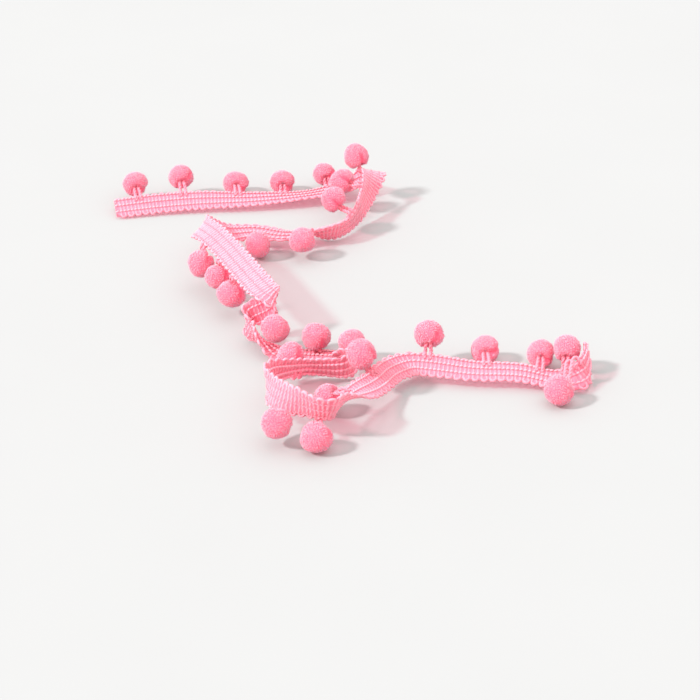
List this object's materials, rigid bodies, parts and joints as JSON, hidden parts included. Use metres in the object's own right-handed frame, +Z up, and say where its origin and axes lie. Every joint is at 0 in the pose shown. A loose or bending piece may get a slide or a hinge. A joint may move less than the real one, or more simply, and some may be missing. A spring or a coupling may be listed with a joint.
{
  "type": "pompom fringe trim",
  "caption": "Length of knitted braid with a row of small fluffy balls hung on short strands along one edge, lying in loose folds.",
  "frame": {"origin": "middle of the footprint, on the floor the trim lies on", "axes": "+Z up, +Y away from the near loop towards the far run, +X along the two runs from left to right"},
  "size_m": [0.1808, 0.21, 0.0244],
  "materials": {
    "braid_yarn": "matte soft yarn",
    "pompom_yarn": "matte cut pile"
  },
  "bodies": {
    "root": {"braid": "braid_yarn", "pompom_01": "pompom_yarn", "pompom_02": "pompom_yarn", "pompom_03": "pompom_yarn", "pompom_04": "pompom_yarn", "pompom_05": "pompom_yarn", "pompom_06": "pompom_yarn", "pompom_07": "pompom_yarn", "pompom_08": "pompom_yarn", "pompom_09": "pompom_yarn", "pompom_10": "pompom_yarn", "pompom_11": "pompom_yarn", "pompom_12": "pompom_yarn", "pompom_13": "pompom_yarn", "pompom_14": "pompom_yarn", "pompom_15": "pompom_yarn", "pompom_16": "pompom_yarn", "pompom_17": "pompom_yarn", "pompom_18": "pompom_yarn", "pompom_19": "pompom_yarn", "pompom_20": "pompom_yarn", "pompom_21": "pompom_yarn", "pompom_22": "pompom_yarn", "pompom_23": "pompom_yarn", "pompom_24": "pompom_yarn", "pompom_25": "pompom_yarn", "pompom_26": "pompom_yarn"}
  },
  "joints": []
}
